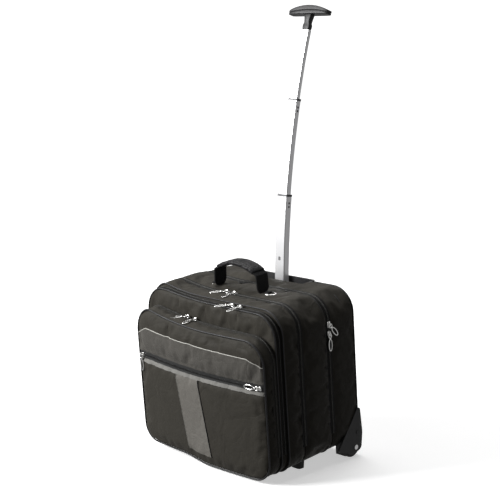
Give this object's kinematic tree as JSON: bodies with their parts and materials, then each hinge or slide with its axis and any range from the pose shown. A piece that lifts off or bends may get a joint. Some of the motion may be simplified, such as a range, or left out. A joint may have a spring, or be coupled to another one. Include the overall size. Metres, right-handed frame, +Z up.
{
  "type": "rolling laptop case",
  "caption": "Soft rolling laptop case with a curved telescoping tow handle, zipped sections that open like a book, a grab handle and two wheels.",
  "frame": {"origin": "middle of the standing case's bounding box, at floor level", "axes": "+X to the case's right as seen from the front, +Y to its back where the tow handle is, +Z up along the raised tow handle"},
  "size_m": [0.4539, 0.4135, 1.081],
  "materials": {
    "nylon": "ballistic nylon weave, matt with a soft sheen",
    "accent": "smooth coated polyester",
    "webbing": "ribbed webbing",
    "handle_leather": "fine grain, stitched",
    "board": "pebbled sheet",
    "black_plastic": "fine spark texture",
    "grey_plastic": "satin moulded",
    "soft_grip": "satin soft-touch",
    "foot_rubber": "matt",
    "tyre_rubber": "matt, scuffed",
    "hub_plastic": "satin",
    "steel": "turned",
    "tube_aluminium": "satin anodised",
    "bright_metal": "nickel plated"
  },
  "bodies": {
    "rear_case": {"rear_panel": "nylon", "rear_gusset": "nylon", "back_board": "board", "rear_base_board": "board", "pole_channel": "tube_aluminium", "channel_foot": "black_plastic", "trolley_cup": "black_plastic", "wheel_housing_left": "grey_plastic", "wheel_housing_right": "grey_plastic", "wheel_axles": "steel", "housing_rivets": "steel"},
    "main_section": {"main_gusset": "nylon", "main_divider": "nylon", "main_base_board": "board", "feet": "foot_rubber", "webbing_tabs": "webbing"},
    "grab_handle": {"handle_webbing": "webbing", "handle_grip": "handle_leather"},
    "left_ring": {"ring_left": "bright_metal"},
    "right_ring": {"ring_right": "bright_metal"},
    "laptop_section": {"laptop_gusset": "nylon", "laptop_panel": "nylon"},
    "organizer": {"organizer_gusset": "nylon", "organizer_panel": "nylon"},
    "front_pocket": {"pocket_gusset": "nylon", "pocket_panel": "nylon", "accent_trim": "accent"},
    "left_wheel": {"left_tyre": "tyre_rubber", "left_hub": "hub_plastic"},
    "right_wheel": {"right_tyre": "tyre_rubber", "right_hub": "hub_plastic"},
    "pole_lower": {"lower_tube": "tube_aluminium", "lower_collar": "black_plastic"},
    "pole_middle": {"middle_tube": "tube_aluminium", "middle_collar": "black_plastic"},
    "pole_upper": {"upper_tube": "tube_aluminium", "grip_core": "black_plastic", "grip_pad": "soft_grip"},
    "button": {"release_button": "black_plastic", "release_rod": "steel"},
    "main_upper_slider": {"main_upper_slider": "bright_metal"},
    "main_upper_pull": {"main_upper_pull": "bright_metal"},
    "main_lower_slider": {"main_lower_slider": "bright_metal"},
    "main_lower_pull": {"main_lower_pull": "bright_metal"},
    "slash_left_slider": {"slash_left_slider": "bright_metal"},
    "slash_left_pull": {"slash_left_pull": "bright_metal"},
    "slash_right_slider": {"slash_right_slider": "bright_metal"},
    "slash_right_pull": {"slash_right_pull": "bright_metal"},
    "laptop_left_slider": {"laptop_left_slider": "bright_metal"},
    "laptop_left_pull": {"laptop_left_pull": "bright_metal"},
    "laptop_right_slider": {"laptop_right_slider": "bright_metal"},
    "laptop_right_pull": {"laptop_right_pull": "bright_metal"},
    "organizer_left_slider": {"organizer_left_slider": "bright_metal"},
    "organizer_left_pull": {"organizer_left_pull": "bright_metal"},
    "organizer_right_slider": {"organizer_right_slider": "bright_metal"},
    "organizer_right_pull": {"organizer_right_pull": "bright_metal"},
    "pocket_left_slider": {"pocket_left_slider": "bright_metal"},
    "pocket_left_pull": {"pocket_left_pull": "bright_metal"},
    "pocket_right_slider": {"pocket_right_slider": "bright_metal"},
    "pocket_right_pull": {"pocket_right_pull": "bright_metal"}
  },
  "joints": [
    {"name": "main_open", "type": "hinge", "parent": "rear_case", "child": "main_section", "pos_m": [0, 0.04619, 0.02355], "axis": [1, 0, 0], "range_deg": [0, 60]},
    {"name": "laptop_open", "type": "hinge", "parent": "main_section", "child": "laptop_section", "pos_m": [0, -0.05071, 0.01809], "axis": [1, 0, 0], "range_deg": [0, 30]},
    {"name": "organizer_open", "type": "hinge", "parent": "laptop_section", "child": "organizer", "pos_m": [0, -0.10649, 0.0132], "axis": [1, 0, 0], "range_deg": [0, 25]},
    {"name": "pocket_open", "type": "hinge", "parent": "organizer", "child": "front_pocket", "pos_m": [0, -0.12642, 0.01146], "axis": [1, 0, 0], "range_deg": [0, 25]},
    {"name": "left_wheel_spin", "type": "hinge", "parent": "rear_case", "child": "left_wheel", "pos_m": [-0.205, 0.11998, 0.028], "axis": [1, 0, 0], "continuous": true},
    {"name": "right_wheel_spin", "type": "hinge", "parent": "rear_case", "child": "right_wheel", "pos_m": [0.205, 0.11998, 0.028], "axis": [1, 0, 0], "continuous": true},
    {"name": "pole_lower_slide", "type": "hinge", "parent": "rear_case", "child": "pole_lower", "pos_m": [0, 2.29417, 0.41824], "axis": [-1, 0, 0], "range_deg": [-5.68, 0]},
    {"name": "pole_middle_slide", "type": "hinge", "parent": "pole_lower", "child": "pole_middle", "pos_m": [0, 2.29417, 0.41824], "axis": [-1, 0, 0], "range_deg": [-5.94, 0]},
    {"name": "pole_upper_slide", "type": "hinge", "parent": "pole_middle", "child": "pole_upper", "pos_m": [0, 2.29417, 0.41824], "axis": [-1, 0, 0], "range_deg": [-4.4, 0]},
    {"name": "button_press", "type": "slide", "parent": "pole_upper", "child": "button", "axis": [0, -0.2737, -0.9618], "range_m": [0, 0.003], "stiffness_N_per_m": 400, "springref_m": -0.002},
    {"name": "handle_swing", "type": "hinge", "parent": "main_section", "child": "grab_handle", "pos_m": [0, -0.04701, 0.42556], "axis": [-1, 0, 0], "range_deg": [-62, 75]},
    {"name": "left_ring_swing", "type": "hinge", "parent": "main_section", "child": "left_ring", "pos_m": [-0.0895, -0.04573, 0.41102], "axis": [0, 0.9962, 0.0872], "range_deg": [0, 100]},
    {"name": "right_ring_swing", "type": "hinge", "parent": "main_section", "child": "right_ring", "pos_m": [0.0895, -0.04573, 0.41102], "axis": [0, -0.9962, -0.0872], "range_deg": [0, 100]},
    {"name": "main_upper_zip", "type": "hinge", "parent": "rear_case", "child": "main_upper_slider", "pos_m": [0.163, 0.01736, 0.3553], "axis": [0, -0.9962, -0.0872], "range_deg": [0, 90]},
    {"name": "main_upper_pull_swing", "type": "hinge", "parent": "main_upper_slider", "child": "main_upper_pull", "pos_m": [0.2245, 0.01806, 0.34733], "axis": [0, -0.7071, -0.7071], "range_deg": [0, 150]},
    {"name": "main_lower_zip", "type": "slide", "parent": "rear_case", "child": "main_lower_slider", "axis": [0, 0.0872, -0.9962], "range_m": [0, 0.236]},
    {"name": "main_lower_pull_swing", "type": "hinge", "parent": "main_lower_slider", "child": "main_lower_pull", "pos_m": [0.2245, 0.02006, 0.32442], "axis": [0, -0.9962, -0.0872], "range_deg": [0, 150]},
    {"name": "slash_left_zip", "type": "hinge", "parent": "front_pocket", "child": "slash_left_slider", "pos_m": [0, 1.70925, 0.39792], "axis": [0, -0.0872, 0.9962], "range_deg": [0, 5.63]},
    {"name": "slash_left_pull_swing", "type": "hinge", "parent": "slash_left_slider", "child": "slash_left_pull", "pos_m": [-0.20073, -0.19262, 0.23153], "axis": [-0.9945, 0.1042, 0.0091], "range_deg": [0, 150]},
    {"name": "slash_right_zip", "type": "hinge", "parent": "front_pocket", "child": "slash_right_slider", "pos_m": [0, 1.70925, 0.39792], "axis": [0, 0.0872, -0.9962], "range_deg": [0, 5.63]},
    {"name": "slash_right_pull_swing", "type": "hinge", "parent": "slash_right_slider", "child": "slash_right_pull", "pos_m": [0.20073, -0.19262, 0.23153], "axis": [0, -0.0872, 0.9962], "range_deg": [0, 150]},
    {"name": "laptop_left_zip", "type": "slide", "parent": "main_section", "child": "laptop_left_slider", "axis": [-1, 0, 0], "range_m": [0, 0.142]},
    {"name": "laptop_left_pull_swing", "type": "hinge", "parent": "laptop_left_slider", "child": "laptop_left_pull", "pos_m": [-0.011, -0.08463, 0.40811], "axis": [-0.7071, 0.7044, 0.0616], "range_deg": [0, 150]},
    {"name": "laptop_right_zip", "type": "slide", "parent": "main_section", "child": "laptop_right_slider", "axis": [1, 0, 0], "range_m": [0, 0.138]},
    {"name": "laptop_right_pull_swing", "type": "hinge", "parent": "laptop_right_slider", "child": "laptop_right_pull", "pos_m": [0.015, -0.08463, 0.40811], "axis": [-1, 0, 0], "range_deg": [0, 150]},
    {"name": "organizer_left_zip", "type": "slide", "parent": "organizer", "child": "organizer_left_slider", "axis": [-1, 0, 0], "range_m": [0, 0.22]},
    {"name": "organizer_left_pull_swing", "type": "hinge", "parent": "organizer_left_slider", "child": "organizer_left_pull", "pos_m": [0.071, -0.14726, 0.39661], "axis": [-0.7071, 0.7044, 0.0616], "range_deg": [0, 85]},
    {"name": "organizer_right_zip", "type": "slide", "parent": "organizer", "child": "organizer_right_slider", "axis": [1, 0, 0], "range_m": [0, 0.052]},
    {"name": "organizer_right_pull_swing", "type": "hinge", "parent": "organizer_right_slider", "child": "organizer_right_pull", "pos_m": [0.097, -0.14726, 0.39661], "axis": [-1, 0, 0], "range_deg": [0, 85]},
    {"name": "pocket_left_zip", "type": "slide", "parent": "front_pocket", "child": "pocket_left_slider", "axis": [-1, 0, 0], "range_m": [0, 0.085]},
    {"name": "pocket_left_pull_swing", "type": "hinge", "parent": "pocket_left_slider", "child": "pocket_left_pull", "pos_m": [-0.063, -0.16283, 0.34506], "axis": [-0.7071, 0.7044, 0.0616], "range_deg": [0, 85]},
    {"name": "pocket_right_zip", "type": "slide", "parent": "front_pocket", "child": "pocket_right_slider", "axis": [1, 0, 0], "range_m": [0, 0.185]},
    {"name": "pocket_right_pull_swing", "type": "hinge", "parent": "pocket_right_slider", "child": "pocket_right_pull", "pos_m": [-0.037, -0.16283, 0.34506], "axis": [-1, 0, 0], "range_deg": [0, 85]}
  ]
}
